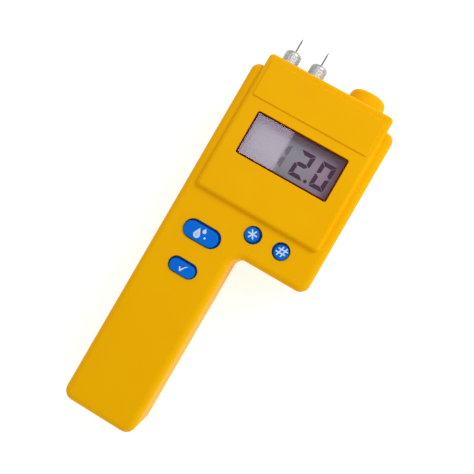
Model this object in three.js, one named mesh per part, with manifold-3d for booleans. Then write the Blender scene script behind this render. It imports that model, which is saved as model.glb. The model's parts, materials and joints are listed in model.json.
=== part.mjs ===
// A pistol-grip, pin-type moisture meter, lying on its flat back.
// Millimetres. X runs across the face, Y along the handle towards the pins, Z out of the face.
// The model is drawn from the left side of the case (x), the head's lower edge (y) and the back (z),
// and the group at the end moves it so that the origin is the centre of the box's bottom face.
import * as THREE from 'three';
import { mergeVertices } from 'three/addons/utils/BufferGeometryUtils.js';
import Module from 'manifold-3d';

const wasm = await Module();
wasm.setup();

// ---------------------------------------------------------------- driving dimensions
const BODY = { width: 85, depth: 38, headHeight: 95.7, handleWidth: 42.9, handleLength: 110 };
const CORNER = { shoulder: 4.5, lower: 5.5, handleEnd: 5.8, inner: 5.6 };
const EDGE = 4; // radius along the case's front and back edges
const NOSE = { left: 6.1, right: 79.6, top: 102.5, back: 1.5, corner: 2.6, edge: 2.2 };
const PLATEAU = { bottom: 22.3, rise: 3.2 };
const PAD = { left: 8.9, right: 76.7, bottom: 77.8, top: 98.4, rise: 0.8, corner: 1.2 };
const WALL = { side: 2.5, back: 3, front: 2.5 };
const PARTING = 20; // height of the joint between the two case shells
const GAP = 0.3; // clearance between neighbouring pieces
const AXIS_Z = 20; // height of the pins' and the connector's axes
const FACE = BODY.depth;
const PLATEAU_TOP = FACE + PLATEAU.rise;
const CEILING = FACE - WALL.front;
const PLATEAU_CEILING = PLATEAU_TOP - WALL.front;

const WINDOW = { x: 43, y: 59.6, width: 54.1, height: 25.1, corner: 1.3, recess: 0.6, flange: 2.3 };
const BUTTON_PROUD = 1.2;
const BUTTON_TRAVEL = 0.8;
const BUTTONS = {
  drops: { x: 22.3, y: 1.3, width: 21.7, height: 10.8, shift: [-0.24, -0.24] },
  check: { x: 22.4, y: -19.2, width: 16.5, height: 8.7, shift: [0.1, -0.3] },
  star: { x: 46, y: 14, width: 9.6, height: 9.6, shift: [-0.3, 0] },
  hash: { x: 62.9, y: 13.9, width: 9.6, height: 9.6, shift: [0.22, -0.2] },
};
const PINS = { left: 14.1, right: 30.3 };
const PIN = { radius: 0.45, foot: 98.6, tip: 123, point: 2.4, collar: 108.3 };
const POST = { radius: 3, foot: 88, top: 108 };
const RETAINER = { radius: 4.9, foot: 102.8, shoulder: 112, top: 114.2, crown: 2.1, bore: 3.35 };
const CONNECTOR_X = 62.2;
const SHROUD = { radius: 10.4, bore: 7.4, length: 9.7, flange: 12, crown: 7.8, dome: 3.6 };

const BOARD = { back: 26, thickness: 1.6, top: 81.5, bottom: 4, tongue: -34, margin: 1.6 };
const BOARD_FRONT = BOARD.back + BOARD.thickness;
const CASE_SCREWS = [[7.2, 86.5], [77.8, 86.5], [77.8, 7.5], [6.8, 10], [21.5, -42]];
const BOARD_SCREWS = [[8.4, 36], [76.6, 36], [7.6, -29], [35.3, -29]];
const BATTERY = { width: 26.5, length: 48.5, thickness: 17.5, top: -54.5, back: 3.3 };
const DOOR = { left: 6.8, right: 36.1, top: -50.3, tongue: 1, thickness: 2.5, lip: 1 };

// ---------------------------------------------------------------- materials
const finish = (color, roughness, metalness = 0, extra = {}) =>
  new THREE.MeshStandardMaterial({ color, roughness, metalness, ...extra });
const LOOKS = {
  yellow: () => finish(0xf5b40c, 0.42),
  blue: () => finish(0x0b62c4, 0.4),
  nickel: () => finish(0xb9b9bd, 0.28, 1),
  steel: () => finish(0x8c8c8e, 0.3, 1),
  brass: () => finish(0xc9a24a, 0.35, 1),
  clear: () => finish(0xd8dde0, 0.08, 0, { transparent: true, opacity: 0.3 }),
  brown: () => finish(0x33170a, 0.5),
  lcd: () => finish(0x96919f, 0.2),
  black: () => finish(0x151517, 0.55),
  green: () => finish(0x1f6a3a, 0.5),
  white: () => finish(0xe9e7e0, 0.5),
  red: () => finish(0xb3161b, 0.5),
};

// ---------------------------------------------------------------- solids
const group = new THREE.Group();

function solid(geometry) {
  const bare = geometry.clone();
  bare.deleteAttribute('normal');
  bare.deleteAttribute('uv');
  const merged = mergeVertices(bare, 1e-4);
  const vertProperties = new Float32Array(merged.getAttribute('position').array);
  const triVerts = new Uint32Array(merged.getIndex().array);
  return new wasm.Manifold(new wasm.Mesh({ numProp: 3, vertProperties, triVerts }));
}

function add(name, shape, look) {
  const { vertProperties, triVerts } = shape.getMesh();
  const geometry = new THREE.BufferGeometry();
  geometry.setAttribute('position', new THREE.BufferAttribute(new Float32Array(vertProperties), 3));
  geometry.setIndex(new THREE.BufferAttribute(new Uint32Array(triVerts), 1));
  geometry.computeVertexNormals();
  const mesh = new THREE.Mesh(geometry, LOOKS[look]());
  mesh.name = name;
  group.add(mesh);
}

const union = (first, ...others) => others.reduce((sum, piece) => sum.add(piece), first);
const without = (first, ...others) => others.reduce((rest, piece) => rest.subtract(piece), first);

// A block between two corners.
function block([x0, y0, z0], [x1, y1, z1]) {
  const geometry = new THREE.BoxGeometry(x1 - x0, y1 - y0, z1 - z0);
  geometry.translate((x0 + x1) / 2, (y0 + y1) / 2, (z0 + z1) / 2);
  return solid(geometry);
}

// A round rod standing along Z.
function rod(x, y, radius, z0, z1, sides = 12) {
  const geometry = new THREE.CylinderGeometry(radius, radius, z1 - z0, sides);
  geometry.rotateX(Math.PI / 2);
  geometry.translate(x, y, (z0 + z1) / 2);
  return solid(geometry);
}

// A piece turned about an axis along Y, from [radius, y] points that close on the axis or themselves.
function turned(x, profile, sides = 16) {
  const geometry = new THREE.LatheGeometry(profile.map(([r, y]) => new THREE.Vector2(r, y)), sides);
  geometry.translate(x, 0, AXIS_Z);
  return solid(geometry);
}

const closed = (profile) => [...profile, profile[0]];

// An outline of straight sides that meet at right angles, from [x, y, corner radius] points.
function outline(corners) {
  const shape = new THREE.Shape();
  corners.forEach(([x, y, radius], i) => {
    const corner = new THREE.Vector2(x, y);
    const last = corners.at(i - 1);
    const next = corners[(i + 1) % corners.length];
    const back = new THREE.Vector2(last[0] - x, last[1] - y).normalize();
    const ahead = new THREE.Vector2(next[0] - x, next[1] - y).normalize();
    const start = corner.clone().addScaledVector(back, radius);
    const centre = start.clone().addScaledVector(ahead, radius);
    if (i === 0) shape.moveTo(start.x, start.y);
    else shape.lineTo(start.x, start.y);
    const turnsRight = ahead.cross(back) < 0;
    const from = Math.atan2(-ahead.y, -ahead.x);
    const to = Math.atan2(-back.y, -back.x);
    shape.absarc(centre.x, centre.y, radius, from, to, turnsRight);
  });
  return shape;
}

const rectangle = (x0, y0, x1, y1, r) => outline([[x0, y0, r], [x1, y0, r], [x1, y1, r], [x0, y1, r]]);

// A plate of an outline between two heights, with its front and back edges rounded over.
function plate(shape, z0, z1, edge = 0, { rings = 2, arcs = 2 } = {}) {
  const geometry = new THREE.ExtrudeGeometry(shape, {
    depth: z1 - z0 - 2 * edge,
    bevelEnabled: edge > 0,
    bevelThickness: edge,
    bevelSize: edge,
    bevelOffset: -edge,
    bevelSegments: rings,
    curveSegments: arcs,
  });
  geometry.translate(0, 0, z0 + edge);
  return solid(geometry);
}

// A slot-shaped outline with round ends, or a circle where its width is its height.
function stadium({ x, y, width, height }, grow = 0, steps = 8) {
  const radius = height / 2 + grow;
  const reach = (width - height) / 2;
  const count = reach > 0 ? steps + 1 : steps;
  const ends = [[x + reach, -Math.PI / 2], [x - reach, Math.PI / 2]];
  return new THREE.Shape(ends.flatMap(([centre, start]) => Array.from({ length: count }, (_, i) => {
    const angle = start + (i * Math.PI) / steps;
    return new THREE.Vector2(centre + radius * Math.cos(angle), y + radius * Math.sin(angle));
  })));
}

// A wire through a list of points.
function wire(points, radius = 0.7) {
  const path = new THREE.CatmullRomCurve3(points.map(([x, y, z]) => new THREE.Vector3(x, y, z)));
  const section = stadium({ x: 0, y: 0, width: 2 * radius, height: 2 * radius }, 0, 3);
  const steps = (points.length - 1) * 3;
  return solid(new THREE.ExtrudeGeometry(section, { steps, extrudePath: path }));
}

// ---------------------------------------------------------------- case
// The case's face: a wide head with a narrower handle under its left side, shrunk by `inset`.
function caseOutline(inset = 0) {
  const convex = (radius) => Math.max(radius - inset, 1);
  return outline([
    [inset, -BODY.handleLength + inset, convex(CORNER.handleEnd)],
    [BODY.handleWidth - inset, -BODY.handleLength + inset, convex(CORNER.handleEnd)],
    [BODY.handleWidth - inset, inset, CORNER.inner + inset],
    [BODY.width - inset, inset, convex(CORNER.lower)],
    [BODY.width - inset, BODY.headHeight - inset, convex(CORNER.shoulder)],
    [inset, BODY.headHeight - inset, convex(CORNER.shoulder)],
  ]);
}

function noseOutline(inset = 0) {
  const radius = Math.max(NOSE.corner - inset, 0.8);
  return rectangle(NOSE.left + inset, PLATEAU.bottom + inset, NOSE.right - inset, NOSE.top - inset, radius);
}

const windowOutline = (grow, corner = WINDOW.corner) => rectangle(
  WINDOW.x - WINDOW.width / 2 - grow,
  WINDOW.y - WINDOW.height / 2 - grow,
  WINDOW.x + WINDOW.width / 2 + grow,
  WINDOW.y + WINDOW.height / 2 + grow,
  corner,
);

const body = plate(caseOutline(), 0, BODY.depth, EDGE, { rings: 3 });
const nose = plate(noseOutline(), NOSE.back, PLATEAU_TOP, NOSE.edge);
const pad = plate(
  rectangle(PAD.left, PAD.bottom, PAD.right, PAD.top, PAD.corner),
  PLATEAU_TOP - 1, PLATEAU_TOP + PAD.rise,
);
const hollow = union(
  plate(caseOutline(WALL.side), WALL.back, CEILING),
  plate(noseOutline(WALL.side), NOSE.back + WALL.side, PLATEAU_CEILING),
);
const endHoles = union(
  ...Object.values(PINS).map((x) => turned(x, [
    [0, NOSE.top - 4], [POST.radius + GAP, NOSE.top - 4], [POST.radius + GAP, NOSE.top + 1], [0, NOSE.top + 1],
  ])),
  turned(CONNECTOR_X, [
    [0, NOSE.top - 4], [SHROUD.radius + GAP, NOSE.top - 4],
    [SHROUD.radius + GAP, NOSE.top + 1], [0, NOSE.top + 1],
  ], 32),
);
const BIG = 200;
const seamTop = PARTING + GAP / 2;
const seamBottom = PARTING - GAP / 2;
const above = block([-BIG, -BIG, seamTop], [BIG, BIG, BIG]);
const below = block([-BIG, -BIG, -BIG], [BIG, BIG, seamBottom]);

function frontCase() {
  const shell = without(union(body, nose, pad), hollow).intersect(above);
  const posts = [
    ...CASE_SCREWS.map(([x, y]) => rod(x, y, 3.6, seamTop, CEILING + 1)),
    ...BOARD_SCREWS.map(([x, y]) => rod(x, y, 2.6, BOARD_FRONT + GAP, CEILING + 1)),
  ];
  const screwHoles = [
    ...CASE_SCREWS.map(([x, y]) => rod(x, y, 1.7, seamTop - 1, 33)),
    ...BOARD_SCREWS.map(([x, y]) => rod(x, y, 1.35, BOARD_FRONT, 34)),
  ];
  const buttonHoles = Object.values(BUTTONS).map((button) => plate(stadium(button), 30, 50));
  const windowHole = plate(windowOutline(0), 30, 50);
  add('front_case', without(union(shell, ...posts), ...screwHoles, ...buttonHoles, windowHole, endHoles), 'yellow');
}

// The door's slot: a narrow mouth in the back face and a wider groove behind it for the door's tongues.
const doorPanel = (grow) => block(
  [DOOR.left - grow, -BIG, -1],
  [DOOR.right + grow, DOOR.top + grow, DOOR.thickness + grow],
);
const doorTongue = (grow) => block(
  [DOOR.left - DOOR.tongue - grow, -BIG, DOOR.lip + GAP - grow],
  [DOOR.right + DOOR.tongue + grow, DOOR.top + grow, DOOR.thickness + grow],
);

function rearCase() {
  const shell = without(union(body, nose), hollow).intersect(below);
  const bosses = CASE_SCREWS.map(([x, y]) => rod(x, y, 3.6, 1, seamBottom));
  const screwHoles = CASE_SCREWS.map(([x, y]) => union(rod(x, y, 1.7, -1, 30), rod(x, y, 3.1, -1, 2.9)));
  const mouth = { left: DOOR.left + 0.8, right: DOOR.right - 0.8, top: DOOR.top - 1.2 };
  const guides = [
    [1.5, mouth.left],
    [mouth.right, BODY.handleWidth - 1.5],
  ].map(([x0, x1]) => block([x0, -BODY.handleLength + 1.5, WALL.back - 0.5], [x1, -48, 4.4]));
  const batteryMouth = block([mouth.left, -BODY.handleLength + WALL.side, -1], [mouth.right, mouth.top, 5]);
  const compartmentEnd = block([1.5, -48.6, WALL.back - 0.5], [BODY.handleWidth - 1.5, -47.2, 10]);
  const whole = union(shell, ...bosses, ...guides, compartmentEnd);
  add('rear_case', without(whole, ...screwHoles, doorPanel(GAP), doorTongue(GAP), batteryMouth, endHoles), 'yellow');
}

function batteryDoor() {
  const panel = union(doorPanel(0), doorTongue(0)).intersect(body);
  const gripRibs = [0, 1, 2, 3].map((i) => block([14.8, -60 - 3 * i, -1], [28.2, -58.6 - 3 * i, 0.6]));
  add('battery_door', without(panel, ...gripRibs), 'yellow');
}

function caseScrew(name, x, y) {
  const head = rod(x, y, 2.8, 0.9, 2.6);
  const shank = rod(x, y, 1.4, 2.5, 31);
  const slots = [
    block([x - 1.6, y - 0.3, 0.5], [x + 1.6, y + 0.3, 1.7]),
    block([x - 0.3, y - 1.6, 0.5], [x + 0.3, y + 1.6, 1.7]),
  ];
  add(name, without(union(head, shank), ...slots), 'steel');
}

// ---------------------------------------------------------------- display
function display() {
  const paneTop = PLATEAU_TOP - WINDOW.recess;
  const flangeTop = PLATEAU_CEILING - GAP;
  const flangeBottom = flangeTop - 1.5;
  const bezelTop = flangeBottom - GAP;
  const bezelBottom = bezelTop - 1.2;
  const glassTop = bezelBottom - GAP;
  const glassBottom = glassTop - 2.7;
  const pane = plate(windowOutline(-GAP, 1), flangeBottom, paneTop);
  add('display_window', union(pane, plate(windowOutline(WINDOW.flange), flangeBottom, flangeTop)), 'clear');
  const bezel = without(
    plate(windowOutline(WINDOW.flange), bezelBottom, bezelTop),
    plate(windowOutline(-1.3, 0.6), bezelBottom - 1, bezelTop + 1),
  );
  add('lcd_bezel', bezel, 'brown');
  const glass = plate(windowOutline(2, 0.3), glassBottom, glassTop);
  add('lcd_glass', glass, 'lcd');
  const holder = without(
    plate(windowOutline(4.3, 2), BOARD_FRONT + GAP, glassTop),
    plate(windowOutline(2 + GAP, 0.4), BOARD_FRONT, glassTop + 1),
  );
  add('lcd_holder', holder, 'black');
  const halfStrip = WINDOW.width / 2 - 1;
  const rows = { upper: WINDOW.y + WINDOW.height / 2 - 0.5, lower: WINDOW.y - WINDOW.height / 2 + 0.5 };
  Object.entries(rows).forEach(([side, y]) => {
    add(`zebra_strip_${side}`, block(
      [WINDOW.x - halfStrip, y - 1.1, BOARD_FRONT + GAP],
      [WINDOW.x + halfStrip, y + 1.1, glassBottom - GAP],
    ), 'black');
  });
}

// ---------------------------------------------------------------- circuit board
function board() {
  const inset = WALL.side + BOARD.margin;
  const handleRight = BODY.handleWidth - inset;
  const shape = outline([
    [inset, BOARD.tongue, 1],
    [handleRight, BOARD.tongue, 1],
    [handleRight, BOARD.bottom, CORNER.inner],
    [BODY.width - inset, BOARD.bottom, 1],
    [BODY.width - inset, BOARD.top, 1],
    [inset, BOARD.top, 1],
  ]);
  const holes = [
    ...CASE_SCREWS.map(([x, y]) => rod(x, y, 4.8, BOARD.back - 1, BOARD_FRONT + 1)),
    ...BOARD_SCREWS.map(([x, y]) => rod(x, y, 1.5, BOARD.back - 1, BOARD_FRONT + 1)),
  ];
  add('main_board', without(plate(shape, BOARD.back, BOARD_FRONT), ...holes), 'green');

  const rear = BOARD.back - GAP;
  add('processor_chip', block([37, 24, rear - 2], [49, 36, rear]), 'black');
  add('amplifier_chip', block([24, 70, rear - 1.8], [29, 75, rear]), 'black');
  add('clock_crystal', plate(rectangle(55, 27.7, 66, 32.3, 2.2), rear - 3.5, rear), 'nickel');

  BOARD_SCREWS.forEach(([x, y], i) => {
    const head = rod(x, y, 2.3, rear - 1.4, rear);
    const shank = rod(x, y, 1.05, rear - 0.5, 33);
    add(`board_screw_${i + 1}`, union(head, shank), 'steel');
  });
}

// A push button: the cap in its hole, a flange behind the case wall, and a stem over its switch.
function button(name, spec) {
  const [dx, dy] = spec.shift;
  const moved = { ...spec, x: spec.x + dx, y: spec.y + dy };
  const flangeTop = CEILING - 0.4;
  const stemFoot = BOARD_FRONT + 5.3;
  const cap = plate(stadium(moved, -0.5), flangeTop - 2, FACE + BUTTON_PROUD, 0.8);
  const flange = plate(stadium(moved, 1.1), flangeTop - 1.6, flangeTop);
  const stem = rod(spec.x, spec.y, 1.6, stemFoot, flangeTop - 1);
  add(`${name}_button`, union(cap, flange, stem), 'blue');

  const switchFoot = BOARD_FRONT + GAP;
  const switchTop = switchFoot + 3.4;
  const pocketFloor = switchTop - 2.2;
  const housing = block([spec.x - 3, spec.y - 3, switchFoot], [spec.x + 3, spec.y + 3, switchTop]);
  add(`${name}_switch`, housing.subtract(rod(spec.x, spec.y, 1.8, pocketFloor, switchTop + 1)), 'black');
  const plungerFoot = pocketFloor + GAP + BUTTON_TRAVEL;
  add(`${name}_switch_plunger`, rod(spec.x, spec.y, 1.5, plungerFoot, stemFoot - GAP), 'white');
}

// ---------------------------------------------------------------- battery
function battery() {
  const x0 = (BODY.handleWidth - BATTERY.width) / 2;
  const x1 = x0 + BATTERY.width;
  const foot = BATTERY.top - BATTERY.length;
  const back = BATTERY.back;
  const front = back + BATTERY.thickness;
  const middle = (back + front) / 2;
  const jacket = plate(rectangle(x0, foot, x1, BATTERY.top - 2, 1.5), back, front, 1.2);
  const studs = [x0 + 7, x1 - 7].map((x) => {
    const stud = new THREE.CylinderGeometry(2.8, 2.8, 3.5, 16);
    stud.translate(x, BATTERY.top - 1.9, middle);
    return solid(stud);
  });
  add('battery', union(jacket, ...studs), 'black');

  const snapFoot = BATTERY.top + 0.2;
  const snapTop = snapFoot + 3.6;
  const snap = block([x0 + 1, snapFoot, middle - 6], [x1 - 1, snapTop, middle + 6]);
  add('battery_snap', snap, 'black');

  const leads = { red: x0 + 9, black: x1 - 9 };
  const landing = { red: 13, black: 30 };
  Object.entries(leads).forEach(([colour, x]) => {
    const end = landing[colour];
    add(`battery_lead_${colour}`, wire([
      [x, snapTop + GAP, middle],
      [x + (end - x) * 0.3, snapTop + 4, middle + 1],
      [end, -40, middle + 3],
      [end, -33, middle + 5],
      [end, -30, middle + 9],
      [end, -29.5, BOARD.back - GAP],
    ]), colour);
  });
}

// ---------------------------------------------------------------- pins
function pinSet(side, x) {
  const { radius, foot, tip, point, collar } = PIN;
  add(`contact_pin_${side}`, turned(x, [
    [0, foot], [radius, foot], [radius, collar], [1.3, collar], [1.3, collar + 1], [radius, collar + 1],
    [radius, tip - point], [0.12, tip], [0, tip],
  ], 12), 'steel');

  const hole = radius + 0.35;
  add(`pin_post_${side}`, turned(x, [
    [0, POST.foot], [POST.radius, POST.foot], [POST.radius, POST.top], [hole, POST.top],
    [hole, foot - GAP], [0, foot - GAP],
  ]), 'brass');

  const domeSteps = [0.5, 1].map((t) => t * Math.PI / 2);
  const { shoulder, top, crown, bore } = RETAINER;
  const dome = domeSteps.map((a) => [
    crown + (RETAINER.radius - crown) * Math.cos(a),
    shoulder + (top - shoulder) * Math.sin(a),
  ]);
  const innerTop = collar + 1 + GAP;
  add(`pin_retainer_${side}`, turned(x, closed([
    [bore, RETAINER.foot], [RETAINER.radius, RETAINER.foot], [RETAINER.radius, shoulder], ...dome,
    [hole, top], [hole, innerTop], [bore, innerTop],
  ])), 'nickel');

  add(`pin_lead_${side}`, wire([
    [x, POST.foot - GAP, AXIS_Z],
    [x, POST.foot - 3, AXIS_Z],
    [x + 1, POST.foot - 7, AXIS_Z + 1],
    [x + 2, 78, AXIS_Z + 2.5],
    [x + 2, 76.5, BOARD.back - GAP],
  ]), side === 'left' ? 'white' : 'black');
}

function electrodeBlock() {
  const inner = NOSE.top - WALL.side - GAP;
  const holder = block([NOSE.left + WALL.side + 1.6, 91, AXIS_Z - 7], [37, inner, AXIS_Z + 7]);
  const holes = Object.values(PINS).map((x) => turned(x, [
    [0, 85], [POST.radius + GAP, 85], [POST.radius + GAP, 105], [0, 105],
  ]));
  add('electrode_block', without(holder, ...holes), 'white');
}

// ---------------------------------------------------------------- electrode connector
// A bayonet coaxial jack, recessed in a collar that stands on the nose; `t` is measured from its face.
function connector() {
  const at = (profile) => profile.map(([r, t]) => [r, NOSE.top + t]);
  const wallInside = -WALL.side - GAP;
  const floor = { top: -2.4, bottom: -4.6, hole: 5.3 };
  const domeFoot = SHROUD.length - SHROUD.dome;
  const dome = [0, 1, 2, 3].map((i) => {
    const a = (i * Math.PI) / 6;
    return [
      SHROUD.crown + (SHROUD.radius - SHROUD.crown) * Math.cos(a),
      domeFoot + SHROUD.dome * Math.sin(a),
    ];
  });
  add('connector_shroud', turned(CONNECTOR_X, at(closed([
    [floor.hole, floor.bottom], [SHROUD.flange, floor.bottom], [SHROUD.flange, wallInside],
    [SHROUD.radius, wallInside], ...dome,
    [SHROUD.bore, SHROUD.length - 0.4], [SHROUD.bore, floor.top], [floor.hole, floor.top],
  ])), 24), 'yellow');

  const barrel = { radius: 4.85, bore: 4.05, end: 7 };
  const neck = { radius: 4.95, bore: 2.7, end: -11 };
  const lug = new THREE.CylinderGeometry(0.9, 0.9, 11.4, 10);
  lug.rotateZ(Math.PI / 2);
  lug.translate(CONNECTOR_X, NOSE.top + 4.6, AXIS_Z);
  const core = turned(CONNECTOR_X, at([[0, 0], [barrel.bore, 0], [barrel.bore, 20], [0, 20]]));
  const barrelSolid = turned(CONNECTOR_X, at(closed([
    [neck.bore, neck.end], [neck.radius, neck.end], [neck.radius, floor.top + GAP],
    [6.8, floor.top + GAP], [6.8, -0.9], [barrel.radius, -0.9], [barrel.radius, barrel.end],
    [barrel.bore, barrel.end], [barrel.bore, 0.4], [neck.bore, 0.4],
  ])));
  add('connector_shell', union(barrelSolid, solid(lug).subtract(core)), 'nickel');

  add('connector_insulator', turned(CONNECTOR_X, at(closed([
    [1, -13], [2.4, -13], [2.4, 5.4], [1, 5.4],
  ]))), 'white');
  add('connector_contact', turned(CONNECTOR_X, at([
    [0, -15], [0.7, -15], [0.7, 5], [0, 5],
  ]), 12), 'brass');

  const nut = new THREE.CylinderGeometry(7.4, 7.4, 2.4, 6);
  nut.translate(CONNECTOR_X, NOSE.top + floor.bottom - GAP - 1.2, AXIS_Z);
  const nutBore = turned(CONNECTOR_X, at([[0, -12], [neck.radius + GAP, -12], [neck.radius + GAP, 0], [0, 0]]));
  add('connector_nut', solid(nut).subtract(nutBore), 'nickel');

  const leadFoot = NOSE.top - 15 - GAP;
  add('connector_lead', wire([
    [CONNECTOR_X, leadFoot, AXIS_Z],
    [CONNECTOR_X, leadFoot - 3, AXIS_Z],
    [CONNECTOR_X - 1, leadFoot - 7, AXIS_Z + 1],
    [CONNECTOR_X - 2, 77.5, AXIS_Z + 2.5],
    [CONNECTOR_X - 2, 76, BOARD.back - GAP],
  ], 0.9), 'black');
}

// ---------------------------------------------------------------- assembly
frontCase();
rearCase();
batteryDoor();
CASE_SCREWS.forEach(([x, y], i) => caseScrew(`case_screw_${i + 1}`, x, y));
display();
board();
Object.entries(BUTTONS).forEach(([name, spec]) => button(name, spec));
battery();
Object.entries(PINS).forEach(([side, x]) => pinSet(side, x));
electrodeBlock();
connector();

group.position.set(-BODY.width / 2, (BODY.handleLength - PIN.tip) / 2, 0);

export default group;
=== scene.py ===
import json
import math

import bmesh
import bpy
from mathutils import Matrix, Vector


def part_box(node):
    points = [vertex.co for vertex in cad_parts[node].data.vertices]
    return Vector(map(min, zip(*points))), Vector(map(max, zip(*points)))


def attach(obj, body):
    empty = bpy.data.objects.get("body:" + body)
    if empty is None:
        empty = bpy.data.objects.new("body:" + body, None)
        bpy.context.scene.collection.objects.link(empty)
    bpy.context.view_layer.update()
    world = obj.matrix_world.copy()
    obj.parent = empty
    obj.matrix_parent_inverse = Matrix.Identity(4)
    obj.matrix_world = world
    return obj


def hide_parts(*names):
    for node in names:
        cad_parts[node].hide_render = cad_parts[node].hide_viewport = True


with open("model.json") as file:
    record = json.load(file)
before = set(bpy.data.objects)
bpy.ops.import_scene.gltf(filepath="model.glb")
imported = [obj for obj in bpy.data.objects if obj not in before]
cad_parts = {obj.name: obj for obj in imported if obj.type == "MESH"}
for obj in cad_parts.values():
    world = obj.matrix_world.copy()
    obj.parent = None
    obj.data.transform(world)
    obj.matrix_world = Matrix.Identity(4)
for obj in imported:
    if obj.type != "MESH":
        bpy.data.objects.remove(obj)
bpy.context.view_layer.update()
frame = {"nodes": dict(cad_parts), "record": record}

# ---------------------------------------------------------------- drawing frame
# Shapes are drawn in millimetres from the case's left side (x), the head's lower edge (y) and the back (z).
MM = 0.001
HANDLE_LENGTH = 110
front_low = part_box("front_case")[0]
ORIGIN = Vector((front_low.x, front_low.y + HANDLE_LENGTH * MM, 0))


def drawn(point):
    """A row-frame point in the drawing frame."""
    return (Vector(point) - ORIGIN) / MM


def drawn_box(node):
    """The lowest and highest corners of a node, in the drawing frame."""
    return [drawn(corner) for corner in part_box(node)]


def middle(node):
    low, high = drawn_box(node)
    return (low + high) / 2


# ---------------------------------------------------------------- sizes, in millimetres
case_low, case_high = drawn_box("front_case")
WIDTH = case_high.x
NOSE_TOP = case_high.y
PAD_TOP = case_high.z
HANDLE_WIDTH = 2 * middle("battery").x
HEAD_HEIGHT = 95.7
EDGE = 4
FACE = 38
PLATEAU_TOP = 41.2
PLATEAU_EDGE = 2.2
PLATEAU_FOOT = 22.3
NOSE_LEFT, NOSE_RIGHT, NOSE_BACK = 6.1, 79.6, 1.5
# The raised plate above the window: left, foot, right, top.
PAD = (8.9, 77.8, 76.7, 98.4)
WALL = 2.5
REAR_WALL = 3
SEAM = 0.3
FRONT_SEAM = case_low.z
REAR_SEAM = drawn_box("rear_case")[1].z
CEILING = FACE - WALL
PLATEAU_CEILING = PLATEAU_TOP - WALL
AXIS_Z = 20
HOLE_RIM = 0.35
# Each button's hole: middle x, middle y, width, height.
BUTTON_HOLES = {
    "drops": (22.3, 1.3, 21.7, 10.8),
    "check": (22.4, -19.2, 16.5, 8.7),
    "star": (46, 14, 9.6, 9.6),
    "hash": (62.9, 13.9, 9.6, 9.6),
}
CASE_SCREWS = [middle(f"case_screw_{i + 1}") for i in range(5)]
BOARD_SCREWS = [middle(f"board_screw_{i + 1}") for i in range(4)]
BOARD_FRONT = drawn_box("main_board")[1].z
PINS = {side: middle(f"contact_pin_{side}").x for side in ("left", "right")}
CONNECTOR_X = middle("connector_shell").x
POST_HOLE = 3.3
CONNECTOR_HOLE = 10.7
CASE_POST, CASE_SCREW_HOLE, CASE_HOLE_END = 3.6, 1.7, 33
BOARD_POST, BOARD_SCREW_HOLE, BOARD_HOLE_END = 2.6, 1.35, 34
# A level in the hollow of the case, where cutters through its front and back begin or end.
INSIDE_LEVEL = 30


# ---------------------------------------------------------------- mesh tools
def solid(points, faces):
    mesh = bpy.data.meshes.new("solid")
    mesh.from_pydata([tuple(p) for p in points], [], faces)
    work = bmesh.new()
    work.from_mesh(mesh)
    bmesh.ops.recalc_face_normals(work, faces=work.faces)
    work.to_mesh(mesh)
    work.free()
    return mesh


def carved(base, *steps):
    """The base joined to, cut by or kept inside other meshes, in order; each step is (operation, mesh)."""
    collection = bpy.context.scene.collection
    target = bpy.data.objects.new("target", base)
    collection.objects.link(target)
    helpers = []
    for operation, mesh in steps:
        helper = bpy.data.objects.new("helper", mesh)
        collection.objects.link(helper)
        helpers.append(helper)
        boolean = target.modifiers.new("step", "BOOLEAN")
        boolean.operation = operation
        boolean.solver = "MANIFOLD"
        boolean.object = helper
    graph = bpy.context.evaluated_depsgraph_get()
    result = bpy.data.meshes.new_from_object(target.evaluated_get(graph))
    for unused in (target, *helpers):
        bpy.data.objects.remove(unused)
    return result


def union(base, *others):
    return carved(base, *[("UNION", other) for other in others])


def cut(base, *others):
    return carved(base, *[("DIFFERENCE", other) for other in others])


def outline(corners, steps=10):
    """Points round a shape with right-angled corners, from (x, y, corner radius)."""
    points = []
    for i, (x, y, radius) in enumerate(corners):
        corner = Vector((x, y))
        back = (Vector(corners[i - 1][:2]) - corner).normalized()
        ahead = (Vector(corners[(i + 1) % len(corners)][:2]) - corner).normalized()
        centre = corner + (back + ahead) * radius
        for k in range(steps + 1):
            turn = k / steps * math.pi / 2
            points.append(centre - (ahead * math.cos(turn) + back * math.sin(turn)) * radius)
    return points


def rectangle(x0, y0, x1, y1, radius):
    return outline([(x0, y0, radius), (x1, y0, radius), (x1, y1, radius), (x0, y1, radius)])


def rounded_rectangle(x0, y0, x1, y1, radius):
    """An outline function: the rectangle shrunk by an inset, or grown where it is negative."""
    return lambda inset: rectangle(
        x0 + inset, y0 + inset, x1 - inset, y1 - inset, max(radius - inset, 0.2))


def stadium(x, y, width, height, steps=24):
    """An outline function for a slot with round ends, or a circle where its width is its height."""
    def shape(inset):
        reach = (width - height) / 2
        radius = height / 2 - inset
        points = []
        for side in (1, -1):
            for k in range(steps + 1 if reach else steps):
                turn = (k / steps - side / 2) * math.pi
                points.append(Vector((x + side * reach + radius * math.cos(turn),
                                      y + radius * math.sin(turn))))
        return points
    return shape


def case_outline(inset):
    """The handle and the head in one outline, shrunk by the inset."""
    def convex(radius):
        return max(radius - inset, 0.3)
    return outline([
        (inset, -HANDLE_LENGTH + inset, convex(5.8)),
        (HANDLE_WIDTH - inset, -HANDLE_LENGTH + inset, convex(5.8)),
        (HANDLE_WIDTH - inset, inset, 5.6 + inset),
        (WIDTH - inset, inset, convex(5.5)),
        (WIDTH - inset, HEAD_HEIGHT - inset, convex(4.5)),
        (inset, HEAD_HEIGHT - inset, convex(4.5)),
    ])


nose_outline = rounded_rectangle(NOSE_LEFT, PLATEAU_FOOT, NOSE_RIGHT, NOSE_TOP, 2.6)


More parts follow.
